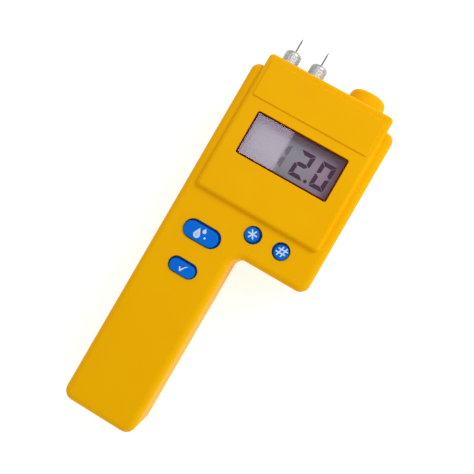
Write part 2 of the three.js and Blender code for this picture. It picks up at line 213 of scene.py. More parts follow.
def prism(shape, profile):
    """A solid along Z whose outline is shape(inset) at each (inset, z) of the profile."""
    points = []
    for inset, z in profile:
        points += [(p.x, p.y, z) for p in shape(inset)]
    count = len(points) // len(profile)
    faces = [tuple(range(count)), tuple(range(len(points) - count, len(points)))]
    for ring in range(len(profile) - 1):
        for i in range(count):
            a = ring * count + i
            b = ring * count + (i + 1) % count
            faces.append((a, b, b + count, a + count))
    return solid(points, faces)


def block(x0, y0, z0, x1, y1, z1, radius=0.2):
    return prism(rounded_rectangle(x0, y0, x1, y1, radius), [(0, z0), (0, z1)])


def rounded(radius, z, inset=0, up=True, steps=8):
    """Profile points over an edge rounded towards a flat end at z, in order of rising z."""
    quarter = [k / steps * math.pi / 2 for k in range(steps + 1)]
    if up:
        return [(inset + radius * (1 - math.cos(a)), z - radius + radius * math.sin(a)) for a in quarter]
    return [(inset + radius * (1 - math.sin(a)), z + radius - radius * math.cos(a)) for a in quarter]


def flared(z0, z1, rim, past=1.0):
    """The profile of a cutter from z0 through a face at z1, whose mouth has a rounded rim, in order of
    rising z."""
    up = z1 > z0
    profile = [(0, z0)]
    for k in range(6):
        a = k / 5 * math.pi / 2
        rise = rim - rim * math.sin(a)
        profile.append((-rim * (1 - math.cos(a)), z1 - rise if up else z1 + rise))
    profile.append((-rim, z1 + past if up else z1 - past))
    return profile if up else profile[::-1]


def turned(profile, centre, sides=64, axis="Y", ring=False, relief=None):
    """A piece turned about an axis: (radius, height) points from end to end, or round a ring.
    relief(angle, height) is added to the radius."""
    rows = []
    points = []
    for radius, height in profile:
        row = []
        for k in range(sides if radius else 1):
            turn = 2 * math.pi * k / sides
            r = radius + relief(turn, height) if relief and radius else radius
            across, out = r * math.sin(turn), r * math.cos(turn)
            row.append(len(points))
            if axis == "Y":
                points.append((centre[0] + across, height, centre[1] + out))
            elif axis == "X":
                points.append((height, centre[0] + across, centre[1] + out))
            else:
                points.append((centre[0] + across, centre[1] + out, height))
        rows.append(row)
    faces = []
    for i in range(len(rows) if ring else len(rows) - 1):
        low, high = rows[i], rows[(i + 1) % len(rows)]
        for k in range(sides):
            n = (k + 1) % sides
            if len(low) == 1 and len(high) > 1:
                faces.append((low[0], high[k], high[n]))
            elif len(high) == 1 and len(low) > 1:
                faces.append((low[k], low[n], high[0]))
            elif len(low) > 1:
                faces.append((low[k], low[n], high[n], high[k]))
    return solid(points, faces)


def shade(mesh, limit):
    """Smooth shading across edges under the limit, with flat faces kept flat beside their fillets."""
    normals = [p.normal.copy() for p in mesh.polygons]
    areas = [p.area for p in mesh.polygons]
    level = [max(abs(c) for c in n) > 0.99999 for n in normals]
    around = [[] for _ in mesh.vertices]
    for p in mesh.polygons:
        for v in p.vertices:
            around[v].append(p.index)
    close = math.cos(math.radians(limit))
    shown = [None] * len(mesh.loops)
    for p in mesh.polygons:
        own = normals[p.index]
        for corner in p.loop_indices:
            if level[p.index]:
                shown[corner] = own
                continue
            near = [q for q in around[mesh.loops[corner].vertex_index] if normals[q].dot(own) > close]
            flats = [q for q in near if level[q]]
            if flats:
                shown[corner] = normals[flats[0]]
            else:
                total = sum((normals[q] * areas[q] for q in near), Vector())
                shown[corner] = total.normalized() if total.length > 1e-12 else own
    mesh.polygons.foreach_set("use_smooth", [True] * len(mesh.polygons))
    mesh.normals_split_custom_set([tuple(n) for n in shown])


def place(name, mesh, body, replaced, materials, limit=40, paint=None):
    """Makes a piece from a drawn mesh, puts it in the row frame and ties it to its body."""
    mesh.materials.clear()
    for look in materials:
        mesh.materials.append(look)
    for p in mesh.polygons:
        p.material_index = paint(p.center, p.normal) if paint else 0
    mesh.transform(Matrix.Translation(ORIGIN) @ Matrix.Scale(MM, 4))
    shade(mesh, limit)
    mesh.name = name
    piece = bpy.data.objects.new(name, mesh)
    bpy.context.scene.collection.objects.link(piece)
    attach(piece, body)
    if replaced:
        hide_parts(*replaced)


# ---------------------------------------------------------------- materials
def linear(r, g, b):
    """A colour given in 0-255 display values."""
    def decoded(value):
        share = value / 255
        return share / 12.92 if value <= 10 else ((share + 0.055) / 1.055) ** 2.4
    return decoded(r), decoded(g), decoded(b), 1


def new_material(name):
    look = bpy.data.materials.new(name)
    look.use_nodes = True
    nodes, links = look.node_tree.nodes, look.node_tree.links
    return look, nodes, links, nodes["Principled BSDF"]


def noise(nodes, links, scale, detail=3.0, stretch=None):
    """A noise output over a piece's own coordinates, which the stretch draws out along its small axis."""
    where = nodes.new("ShaderNodeTexCoord").outputs["Object"]
    if stretch:
        mapping = nodes.new("ShaderNodeMapping")
        mapping.inputs["Scale"].default_value = stretch
        links.new(where, mapping.inputs["Vector"])
        where = mapping.outputs["Vector"]
    texture = nodes.new("ShaderNodeTexNoise")
    texture.inputs["Scale"].default_value = scale
    texture.inputs["Detail"].default_value = detail
    links.new(where, texture.inputs["Vector"])
    return texture.outputs["Fac"]


def spread(nodes, links, source, stops):
    """The colour output of a ramp over a texture's value."""
    ramp = nodes.new("ShaderNodeValToRGB")
    elements = ramp.color_ramp.elements
    while len(elements) < len(stops):
        elements.new(0.5)
    for element, (position, colour) in zip(elements, stops):
        element.position = position
        element.color = colour
    links.new(source, ramp.inputs["Fac"])
    return ramp.outputs["Color"]


def grey(value):
    return (value, value, value, 1)


def two_toned(nodes, links, shader, source, dark, light, roughness):
    """A colour and a gloss that follow one texture."""
    links.new(spread(nodes, links, source, [(0.3, dark), (0.7, light)]), shader.inputs["Base Color"])
    smooth, rough = roughness
    links.new(spread(nodes, links, source, [(0.3, grey(smooth)), (0.7, grey(rough))]),
              shader.inputs["Roughness"])


def bumped(nodes, links, shader, height, strength, distance, inverted=False):
    """Relief on a shader, from a texture's height."""
    bump = nodes.new("ShaderNodeBump")
    bump.inputs["Strength"].default_value = strength
    bump.inputs["Distance"].default_value = distance
    bump.invert = inverted
    links.new(height, bump.inputs["Height"])
    links.new(bump.outputs["Normal"], shader.inputs["Normal"])


BLOTCH = 45


def moulded(name, dark, light, roughness, grain=1400, depth=0.00004, **sockets):
    """Moulded plastic: faint colour variation, a fine moulded grain and slightly uneven gloss."""
    look, nodes, links, shader = new_material(name)
    two_toned(nodes, links, shader, noise(nodes, links, BLOTCH), dark, light, roughness)
    bumped(nodes, links, shader, noise(nodes, links, grain, 2.0), 0.35, depth)
    for socket, value in sockets.items():
        shader.inputs[socket.replace("_", " ")].default_value = value
    return look


def metal(name, dark, light, roughness, stretch=(1, 1, 1), grain=900):
    """Turned or plated metal with fine tool marks stretched along one direction."""
    look, nodes, links, shader = new_material(name)
    shader.inputs["Metallic"].default_value = 1
    marks = noise(nodes, links, grain, stretch=stretch)
    two_toned(nodes, links, shader, marks, dark, light, roughness)
    bumped(nodes, links, shader, marks, 0.2, 0.00002)
    return look


YELLOW = moulded("case_yellow", linear(251, 183, 0), linear(252, 187, 0), (0.4, 0.46),
                 Specular_IOR_Level=0.03)
BLUE = moulded("button_blue", linear(0, 108, 222), linear(0, 114, 228), (0.3, 0.36),
               grain=2200, depth=0.00002, Specular_IOR_Level=0.06)
INK = moulded("symbol_ink", linear(196, 222, 250), linear(208, 230, 253), (0.4, 0.5),
              grain=3000, depth=0.00001)
INK_SOFT = moulded("symbol_ink_soft", linear(196, 192, 205), linear(206, 202, 212), (0.4, 0.5),
                   grain=3000, depth=0.00001)
BROWN = moulded("bezel_brown", linear(92, 26, 10), linear(104, 32, 14), (0.5, 0.6),
                grain=2600, depth=0.00001, Specular_IOR_Level=0.05)
BLACK = moulded("black_plastic", linear(16, 16, 17), linear(24, 24, 26), (0.5, 0.65))
RUBBER = moulded("black_rubber", linear(14, 14, 15), linear(24, 24, 25), (0.65, 0.8), grain=900)
RED = moulded("red_insulation", linear(150, 18, 20), linear(172, 24, 26), (0.4, 0.5))
WHITE_WIRE = moulded("white_insulation", linear(214, 212, 204), linear(228, 226, 220), (0.4, 0.5))
WHITE = moulded("white_plastic", linear(222, 220, 212), linear(234, 232, 226), (0.4, 0.5))
NICKEL = metal("nickel_plate", linear(176, 178, 178), linear(206, 208, 206), (0.34, 0.44))
STEEL = metal("pin_steel", linear(96, 96, 98), linear(124, 124, 126), (0.35, 0.48), (1, 0.1, 1), 1600)
SCREW = metal("screw_steel", linear(150, 150, 152), linear(182, 182, 186), (0.3, 0.42))
BRASS = metal("brass", linear(196, 158, 78), linear(214, 178, 96), (0.28, 0.4))


def circuit_board():
    """Green solder mask over faint copper tracks."""
    look, nodes, links, shader = new_material("circuit_board")
    where = nodes.new("ShaderNodeTexCoord")
    cells = nodes.new("ShaderNodeTexVoronoi")
    cells.distance = "MANHATTAN"
    cells.feature = "DISTANCE_TO_EDGE"
    cells.inputs["Scale"].default_value = 260
    links.new(where.outputs["Object"], cells.inputs["Vector"])
    tracks = spread(nodes, links, cells.outputs["Distance"], [
        (0.04, linear(46, 128, 74)), (0.1, linear(20, 84, 44))])
    links.new(tracks, shader.inputs["Base Color"])
    shader.inputs["Roughness"].default_value = 0.35
    bumped(nodes, links, shader, cells.outputs["Distance"], 0.3, 0.00003, inverted=True)
    return look


def along(nodes, links, axis, start, end):
    """0 to 1 between two drawn positions on an axis."""
    where = nodes.new("ShaderNodeTexCoord")
    parts = nodes.new("ShaderNodeSeparateXYZ")
    links.new(where.outputs["Object"], parts.inputs["Vector"])
    reach = nodes.new("ShaderNodeMapRange")
    origin = ORIGIN["XYZ".index(axis)]
    reach.inputs["From Min"].default_value = origin + start * MM
    reach.inputs["From Max"].default_value = origin + end * MM
    links.new(parts.outputs[axis], reach.inputs["Value"])
    return reach.outputs["Result"]


def battery_jacket():
    """A plain two-colour wrapper: dark with a copper-coloured end, and no print."""
    look, nodes, links, shader = new_material("battery_jacket")
    low, high = drawn_box("battery")
    band = spread(nodes, links, along(nodes, links, "Y", low.y, high.y), [
        (0.66, linear(26, 26, 30)), (0.67, linear(176, 112, 62))])
    links.new(band, shader.inputs["Base Color"])
    shader.inputs["Metallic"].default_value = 0.6
    wrinkles = noise(nodes, links, 220)
    gloss = spread(nodes, links, wrinkles, [(0.3, grey(0.22)), (0.7, grey(0.36))])
    links.new(gloss, shader.inputs["Roughness"])
    return look


window_low, window_high = drawn_box("display_window")
WINDOW_FLANGE = 2.3
WINDOW_CORNER = 1.3
# The window's opening: left, foot, right, top.
WINDOW = (window_low.x + WINDOW_FLANGE, window_low.y + WINDOW_FLANGE,
          window_high.x - WINDOW_FLANGE, window_high.y - WINDOW_FLANGE)
PANE_TOP = window_high.z


def panel():
    """The display cell: grey-violet, more purple towards the right, with painted shade at its borders:
    darker at the left and right edges and a painted shadow band along the top.
    """
    look, nodes, links, shader = new_material("lcd_panel")
    x0, y0, x1, y1 = WINDOW

    def mixed(factor, first, second):
        """The first colour, giving way to the second where the factor is high."""
        mix = nodes.new("ShaderNodeMix")
        mix.data_type = "RGBA"
        links.new(factor, mix.inputs["Factor"])
        for socket, colour in (("A", first), ("B", second)):
            target = next(s for s in mix.inputs if s.name == socket and s.type == "RGBA")
            if isinstance(colour, tuple):
                target.default_value = colour
            else:
                links.new(colour, target)
        return next(s for s in mix.outputs if s.type == "RGBA")

    # Painted shade: darker at the left edge and darker purple at the right edge, where the window's walls
    # would shade the deep-set cell.
    across = spread(nodes, links, along(nodes, links, "X", x0, x1), [
        (0.0, linear(136, 118, 130)), (0.08, linear(154, 150, 156)), (0.6, linear(160, 156, 168)),
        (0.86, linear(172, 144, 168)), (0.97, linear(166, 108, 144))])
    up = along(nodes, links, "Y", y0, y1)
    # Painted shadow: a darker band along the top, where the window's top wall would cast its shadow.
    shadow = spread(nodes, links, up, [(0.78, grey(0)), (0.93, grey(1))])
    shaded = mixed(shadow, across, linear(140, 96, 128))
    softened = spread(nodes, links, noise(nodes, links, 160), [(0.3, grey(0)), (0.75, grey(0.25))])
    links.new(mixed(softened, shaded, linear(170, 167, 178)), shader.inputs["Base Color"])
    shader.inputs["Roughness"].default_value = 0.6
    shader.inputs["Specular IOR Level"].default_value = 0.15
    return look


def pane_clear():
    """Clear acrylic: see-through, with a gloss that grows towards a glancing view."""
    look, nodes, links, shader = new_material("window_clear")
    nodes.remove(shader)
    clear = nodes.new("ShaderNodeBsdfTransparent")
    clear.inputs["Color"].default_value = (0.96, 0.96, 0.97, 1)
    gloss = nodes.new("ShaderNodeBsdfGlossy")
    gloss.inputs["Roughness"].default_value = 0.04
    facing = nodes.new("ShaderNodeLayerWeight")
    facing.inputs["Blend"].default_value = 0.5
    edge = spread(nodes, links, facing.outputs["Facing"], [
        (0.0, grey(0.07)), (0.5, grey(0.08)), (0.8, grey(0.2)), (1.0, grey(0.8))])
    bumped(nodes, links, gloss, noise(nodes, links, 90), 0.05, 0.00005)
    mix = nodes.new("ShaderNodeMixShader")
    links.new(edge, mix.inputs["Fac"])
    links.new(clear.outputs["BSDF"], mix.inputs[1])
    links.new(gloss.outputs["BSDF"], mix.inputs[2])
    links.new(mix.outputs["Shader"], nodes["Material Output"].inputs["Surface"])
    return look


def pane_inner():
    """The inner face of the pane: see-through with a faint uneven tint and no gloss of its own."""
    look, nodes, links, shader = new_material("window_inner_face")
    nodes.remove(shader)
    clear = nodes.new("ShaderNodeBsdfTransparent")
    tint = spread(nodes, links, noise(nodes, links, 60), [(0.3, grey(0.95)), (0.7, grey(0.97))])
    links.new(tint, clear.inputs["Color"])
    links.new(clear.outputs["BSDF"], nodes["Material Output"].inputs["Surface"])
    return look


BOARD = circuit_board()
JACKET = battery_jacket()
PANEL = panel()
CLEAR = pane_clear()
INNER = pane_inner()
DIGIT = moulded("lcd_digit", linear(66, 4, 66), linear(76, 8, 74), (0.6, 0.7),
                grain=3000, depth=0.00001, Specular_IOR_Level=0.1)
# Painted reflection: the hundreds digit is paler, standing in for the glare on the window over it.
DIGIT_PAINTED_GLARE = moulded("lcd_digit_painted_glare", linear(120, 100, 124), linear(130, 110, 134), (0.6, 0.7),
                     grain=3000, depth=0.00001, Specular_IOR_Level=0.1)
SLOT_LOOKS = {
    "case_yellow": YELLOW, "button_blue": BLUE, "window_clear": CLEAR, "bezel_brown": BROWN,
    "lcd_panel": PANEL, "black_plastic": BLACK, "black_rubber": RUBBER, "red_insulation": RED,
    "white_insulation": WHITE_WIRE, "white_plastic": WHITE, "circuit_board": BOARD,
    "battery_jacket": JACKET, "nickel_plate": NICKEL, "pin_steel": STEEL, "screw_steel": SCREW,
    "brass": BRASS,
}


# ---------------------------------------------------------------- case
def turned_hole(x, radius, rim=0.3):
    """A cutter through the end wall of the nose, with a rounded rim."""
    foot = NOSE_TOP - 4
    profile = [(0, foot), (radius, foot)]
    for k in range(5):
        a = k / 4 * math.pi / 2
        profile.append((radius + rim * (1 - math.cos(a)), NOSE_TOP - rim + rim * math.sin(a)))
    profile += [(radius + rim, NOSE_TOP + 1), (0, NOSE_TOP + 1)]
    return turned(profile, (x, AXIS_Z), 96)


def end_holes():
    """Cutters for the two posts and the jack, which both halves of the case share."""
    return [*(turned_hole(x, POST_HOLE) for x in PINS.values()), turned_hole(CONNECTOR_X, CONNECTOR_HOLE)]


def cylinder(x, y, radius, z0, z1, sides=32):
    return turned([(0, z0), (radius, z0), (radius, z1), (0, z1)], (x, y), sides, axis="Z")


def plateau_skirt():
    """The concave fillet where the raised panel meets the face, below the shoulders."""
    radius = 0.9
    top = 91

    def shape(inset):
        return rectangle(NOSE_LEFT + inset, PLATEAU_FOOT + inset, NOSE_RIGHT - inset, top, 2.6 - inset)

    profile = [(-radius, FACE - 0.5)]
    for k in range(7):
        a = k / 6 * math.pi / 2
        profile.append((-radius + radius * math.sin(a), FACE + radius * (1 - math.cos(a))))
    profile.append((0.1, FACE + radius))
    return prism(shape, profile)


def front_case():
    skin = [(SEAM, FRONT_SEAM), (0, FRONT_SEAM + SEAM)]
    body = prism(case_outline, skin + rounded(EDGE, FACE))
    nose = prism(nose_outline, skin + rounded(PLATEAU_EDGE, PLATEAU_TOP))
    pad = prism(rounded_rectangle(*PAD, 1.2), [(0, PLATEAU_TOP - 1)] + rounded(0.5, PAD_TOP))
    hollow = prism(case_outline, [(WALL, FRONT_SEAM - 1), (WALL, CEILING)])
    nose_hollow = prism(nose_outline, [(WALL, FRONT_SEAM - 1), (WALL, PLATEAU_CEILING)])
    posts = [cylinder(p.x, p.y, CASE_POST, FRONT_SEAM, CEILING + 1) for p in CASE_SCREWS]
    posts += [cylinder(p.x, p.y, BOARD_POST, BOARD_FRONT + 0.3, CEILING + 1) for p in BOARD_SCREWS]
    holes = [cylinder(p.x, p.y, CASE_SCREW_HOLE, FRONT_SEAM - 1, CASE_HOLE_END) for p in CASE_SCREWS]
    holes += [cylinder(p.x, p.y, BOARD_SCREW_HOLE, BOARD_FRONT, BOARD_HOLE_END) for p in BOARD_SCREWS]
    holes += [prism(stadium(*hole), flared(INSIDE_LEVEL, FACE, HOLE_RIM)) for hole in BUTTON_HOLES.values()]
    holes.append(prism(rounded_rectangle(*WINDOW, WINDOW_CORNER), flared(INSIDE_LEVEL, PLATEAU_TOP, 0.4)))
    shell = cut(union(body, nose, pad, plateau_skirt()), hollow, nose_hollow)
    whole = cut(union(shell, *posts), *holes, *end_holes())

    def painted_gap_shade(centre, normal):
        """Painted shade: the walls of each button's hole are painted black below the rim, standing in for
        the shadow in the narrow gap; the case itself is yellow there.
        """
        inside = any(abs(centre.x - x) < width / 2 + HOLE_RIM and abs(centre.y - y) < height / 2 + HOLE_RIM
                     for x, y, width, height in BUTTON_HOLES.values())
        upright = abs(normal.z) < 0.5
        below_rim = CEILING - 0.1 < centre.z < FACE - HOLE_RIM / 2
        return 1 if inside and upright and below_rim else 0

    place("front_shell", whole, "case", ["front_case"], [YELLOW, BLACK], paint=painted_gap_shade)


door_low, door_high = drawn_box("battery_door")
TONGUE = 1
TONGUE_FOOT = 1.3
DOOR_LEFT, DOOR_RIGHT, DOOR_TOP = door_low.x + TONGUE, door_high.x - TONGUE, door_high.y
DOOR_THICKNESS = door_high.z
DOOR_GAP = 0.3
# The door and its slot are drawn past the end of the handle, and the case's outline trims the door.
DOOR_END = -HANDLE_LENGTH - 20


def door_panel(grow, profile):
    """The door's outer plate, or its slot where it is grown by the gap."""
    shape = rounded_rectangle(DOOR_LEFT - grow, DOOR_END, DOOR_RIGHT + grow, DOOR_TOP + grow, 1.0)
    return prism(shape, profile)


def door_tongue(grow):
    """The wider inner plate that runs in the two grooves, or the grooves themselves."""
    return block(DOOR_LEFT - TONGUE - grow, DOOR_END, TONGUE_FOOT - grow,
                 DOOR_RIGHT + TONGUE + grow, DOOR_TOP + grow, DOOR_THICKNESS + grow, 0.5)


def outer_body():
    """The whole outside of the case, without the nose."""
    return prism(case_outline, rounded(EDGE, 0, up=False) + rounded(EDGE, FACE))


def rear_case():
    skin = [(0, REAR_SEAM - SEAM), (SEAM, REAR_SEAM)]
    body = prism(case_outline, rounded(EDGE, 0, up=False) + skin)
    nose = prism(nose_outline, rounded(PLATEAU_EDGE, NOSE_BACK, up=False) + skin)
    hollow = prism(case_outline, [(WALL, REAR_WALL), (WALL, REAR_SEAM + 1)])
    nose_hollow = prism(nose_outline, [(WALL, NOSE_BACK + WALL), (WALL, REAR_SEAM + 1)])
    bosses = [cylinder(p.x, p.y, CASE_POST, 1, REAR_SEAM) for p in CASE_SCREWS]
    mouth_left, mouth_right = DOOR_LEFT + 0.8, DOOR_RIGHT - 0.8
    # Two rails carry the door's grooves, and a low wall ends the battery's bay.
    # All of them reach into the case's walls.
    sunk = 1.5
    inner_end, inner_right, rail_foot = -HANDLE_LENGTH + sunk, HANDLE_WIDTH - sunk, REAR_WALL - 0.5
    rail_end, rail_top = -48, 4.4
    bay_wall_foot, bay_wall_end, bay_wall_top = -48.6, -47.2, 10
    guides = [
        block(sunk, inner_end, rail_foot, mouth_left, rail_end, rail_top),
        block(mouth_right, inner_end, rail_foot, inner_right, rail_end, rail_top),
        block(sunk, bay_wall_foot, rail_foot, inner_right, bay_wall_end, bay_wall_top),
    ]
    holes = [cylinder(p.x, p.y, CASE_SCREW_HOLE, -1, INSIDE_LEVEL) for p in CASE_SCREWS]
    holes += [prism(stadium(p.x, p.y, 6.2, 6.2), flared(2.9, 0, 0.3)) for p in CASE_SCREWS]
    slot = door_panel(DOOR_GAP, flared(DOOR_THICKNESS + DOOR_GAP, 0, 0.25))
    mouth = block(mouth_left, -HANDLE_LENGTH + WALL, -1, mouth_right, DOOR_TOP - 1.2, 5)
    shell = cut(union(body, nose), hollow, nose_hollow)
    whole = cut(union(shell, *bosses, *guides), *holes, slot, door_tongue(DOOR_GAP), mouth, *end_holes())
    place("rear_shell", whole, "case", ["rear_case"], [YELLOW])


def battery_door():
    panel_part = door_panel(0, rounded(0.3, 0, up=False, steps=4) + [(0, DOOR_THICKNESS)])
    first, pitch, width, height = -59.3, 3, 13.4, 1.4
    grooves = [prism(stadium(HANDLE_WIDTH / 2, first - pitch * i, width, height), flared(0.6, 0, 0.3))
               for i in range(4)]
    whole = carved(panel_part, ("UNION", door_tongue(0)), ("INTERSECT", outer_body()),
                   *[("DIFFERENCE", groove) for groove in grooves])
    place("door_cover", whole, "battery_door", ["battery_door"], [YELLOW])


def case_screw(number, centre):
    head = turned([
        (0, 0.9), (1.2, 0.93), (2.1, 1.15), (2.6, 1.55), (2.8, 2.05), (2.8, 2.6), (1.4, 2.6), (1.4, 29.8),
        (0.5, 31), (0, 31),
    ], (centre.x, centre.y), 40, axis="Z")
    level_arm = stadium(centre.x, centre.y, 3.1, 0.7, 8)

    def upright_arm(inset):
        return [Vector((centre.x - (p.y - centre.y), centre.y + (p.x - centre.x))) for p in level_arm(inset)]

    recess = [prism(arm, [(-0.08, 0.4), (0.02, 1.3), (0.2, 1.9)]) for arm in (level_arm, upright_arm)]
    place(f"case_fixing_{number}", cut(head, *recess), "case", [f"case_screw_{number}"],
          [SCREW])


# ---------------------------------------------------------------- display
def display():
    pane_low = window_low.z
    flange_top = PLATEAU_CEILING - 0.3
    border = 1.0
    clearance = 0.3
    edge = rounded(0.2, PANE_TOP, clearance, steps=4)
    pane = prism(rounded_rectangle(*WINDOW, WINDOW_CORNER),
                 [(clearance, pane_low + 0.2), *edge, (border, PANE_TOP)])
    x0, y0, x1, y1 = WINDOW
    flange = prism(rounded_rectangle(x0 - WINDOW_FLANGE, y0 - WINDOW_FLANGE, x1 + WINDOW_FLANGE,
                                     y1 + WINDOW_FLANGE, WINDOW_CORNER),
                   [(0, pane_low), (0, flange_top)])

    def painted_border_shade(centre, normal):
        """Painted shade: the pane's sides, rim and flange are painted dark brown, standing in for the
        shadowed walls of the window's opening; its two faces stay clear.
        """
        inner = x0 + border < centre.x < x1 - border and y0 + border < centre.y < y1 - border
        if abs(normal.z) < 0.9 or not inner:
            return 1
        return 0 if normal.z > 0 else 2

    place("window_pane", union(pane, flange), "case", ["display_window"],
          [CLEAR, BROWN, INNER], paint=painted_border_shade)

    low, high = drawn_box("lcd_bezel")
    surround = prism(rounded_rectangle(low.x, low.y, high.x, high.y, 1.3),
                     [(0, low.z), *rounded(0.3, high.z, steps=3)])
    overlap = 0.8
    opening = prism(rounded_rectangle(x0 + overlap, y0 + overlap, x1 - overlap, y1 - overlap, 0.6),
                    flared(low.z - 1, high.z, 0.3))
    place("display_surround", cut(surround, opening), "case", ["lcd_bezel"], [BROWN])

    low, high = drawn_box("lcd_glass")
    chamfer = 0.15
    cell = prism(rounded_rectangle(low.x, low.y, high.x, high.y, 0.3),
                 [(chamfer, low.z), (0, low.z + chamfer), *rounded(chamfer, high.z, steps=3)])
    place("display_cell", cell, "case", ["lcd_glass"], [PANEL])
    digits(high.z)


def flat_piece(points, z0, z1):
    """A thin solid of a polygon."""
    return prism(lambda inset: [Vector(p) for p in points], [(0, z0), (0, z1)])


DIGIT_WIDTH, DIGIT_HEIGHT, STROKE, SEGMENT_GAP = 8.4, 15.2, 2.3, 0.12
DIGIT_LEAN = math.tan(math.radians(3))


def segments():
    """Seven-segment polygons about the digit's centre."""
    w, h, t, g = DIGIT_WIDTH / 2, DIGIT_HEIGHT / 2, STROKE, SEGMENT_GAP
    level = [(-w + g + 0.3, h), (w - g - 0.3, h), (w - g, h - 0.3), (w - t - g, h - t), (-w + t + g, h - t),
             (-w + g, h - 0.3)]
    upright = [(w, h - g - 0.6), (w, 0.5), (w - 0.7, 0.35), (w - t, t / 2 + g), (w - t, h - t - g)]
    bar = [(-w + g + 0.8, 0), (-w + t + g, t / 2), (w - t - g, t / 2), (w - g - 0.8, 0),
           (w - t - g, -t / 2), (-w + t + g, -t / 2)]

    def mirror(points, sx, sy):
        turned_over = [(sx * x, sy * y) for x, y in points]
        return turned_over if sx * sy > 0 else list(reversed(turned_over))

    return {
        "a": level, "d": mirror(level, 1, -1), "g": bar, "b": upright, "c": mirror(upright, 1, -1),
        "e": mirror(upright, -1, -1), "f": mirror(upright, -1, 1),
    }


def digits(surface):
    """The reading 12.0, as thin dark segments on the cell's face, a little below the window's middle."""
    shapes = segments()
    low, high = surface + 0.01, surface + 0.06
    middle_y = (WINDOW[1] + WINDOW[3]) / 2 - 0.65
    right_edge = {"units": 66.3, "tens": 53.8, "hundreds": 40.3}
    spec = [
        # Painted reflection: the 1 takes the paler colour of the glare over it.
        ("digit_hundreds", right_edge["hundreds"], "bc", DIGIT_PAINTED_GLARE),
        ("digit_tens", right_edge["tens"], "abged", DIGIT),
        ("digit_units", right_edge["units"], "abcdef", DIGIT),
    ]
    for name, edge, lit, look in spec:
        centre = Vector((edge - DIGIT_WIDTH / 2, middle_y))
        pieces = []
        for key in lit:
            lean = [(centre.x + x + y * DIGIT_LEAN, centre.y + y) for x, y in shapes[key]]
            pieces.append(flat_piece(lean, low, high))
        place(name, union(*pieces), "case", [], [look])
    point_y = middle_y - DIGIT_HEIGHT / 2 + 0.9
    dot = prism(stadium(right_edge["tens"] + 1.5, point_y, 2.0, 2.0, 12), [(0, low), (0, high)])
    place("decimal_point", dot, "case", [], [DIGIT])


# ---------------------------------------------------------------- buttons
def strokes(lines, width, z0, z1):
    """Joined round-ended strokes between pairs of points."""
    pieces = []
    for (ax, ay), (bx, by) in lines:
        run = Vector((bx - ax, by - ay))
        turn = math.atan2(run.y, run.x)
        points = []
        for end, start in (((bx, by), -90), ((ax, ay), 90)):
            for k in range(13):
                a = turn + math.radians(start + 15 * k)
                points.append((end[0] + width / 2 * math.cos(a), end[1] + width / 2 * math.sin(a)))
        pieces.append(flat_piece(points, z0, z1))
    return union(*pieces)


# The drops of the first button's sign: x, foot, tip and radius, from the centre of its hole.
LARGE_DROP = (-2.1, -3.6, 2.3, 1.85)
SMALL_DROP = (0.9, 0.35, 3.3, 1.05)
STAR_STROKE, HASH_STROKE = 0.8, 0.72


def drop(hole_x, hole_y, sizes, z0, z1, scale=1.0):
    """A falling drop: a circle drawn up to a point. The scale shrinks it about the circle's centre."""
    across, foot, tip, radius = sizes
    x = hole_x + across
    centre = hole_y + foot + radius
    radius = radius * scale
    tip = centre + (hole_y + tip - centre) * scale
    lean = math.asin(radius / (tip - centre))
    points = []
    for k in range(29):
        a = math.pi - lean + (math.pi + 2 * lean) * k / 28
        points.append((x + radius * math.cos(a), centre + radius * math.sin(a)))
    points.append((x, tip))
    return flat_piece(points, z0, z1)


def symbol(name, z0, z1):
    """The printed sign of a button, drawn about the centre of its hole."""
    x, y = BUTTON_HOLES[name][:2]
    if name == "drops":
        dot = prism(stadium(x + 2.6, y - 1.5, 1.15, 1.15, 12), [(0, z0), (0, z1)])
        return union(drop(x, y, LARGE_DROP, z0, z1), drop(x, y, SMALL_DROP, z0, z1), dot)
    if name == "check":
        points = [(-1.75, -0.35), (-1.2, 0.05), (-0.42, -1.15), (1.2, 0.95), (2.95, 2.0), (1.3, 0.2),
                  (-0.1, -2.3), (-0.75, -2.35)]
        return flat_piece([(x + u, y + v) for u, v in reversed(points)], z0, z1)
    if name == "star":
        cx, cy, reach = x - 0.35, y + 0.25, 2.35
        turns = [math.radians(a) for a in (0, 60, 120)]
        ends = [(reach * math.cos(a), reach * math.sin(a)) for a in turns]
        return strokes([((cx - u, cy - v), (cx + u, cy + v)) for u, v in ends], STAR_STROKE, z0, z1)
    cx, cy = x + 0.45, y + 0.05
    lines = [((-2.1, 1.05), (2.75, 1.05)), ((-2.75, -0.95), (2.2, -0.95)), ((-1.6, -2.45), (-0.25, 2.45)),
             ((0.55, -2.45), (1.85, 2.45))]
    placed = [((cx + a, cy + b), (cx + c, cy + d)) for (a, b), (c, d) in lines]
    return strokes(placed, HASH_STROKE, z0, z1)


# How far each cap leans to one side of its hole, which widens the gap on the other side.
CAP_LEAN = {"drops": (-0.25, -0.25), "check": (-0.1, -0.25), "star": (-0.25, 0), "hash": (0.2, -0.2)}


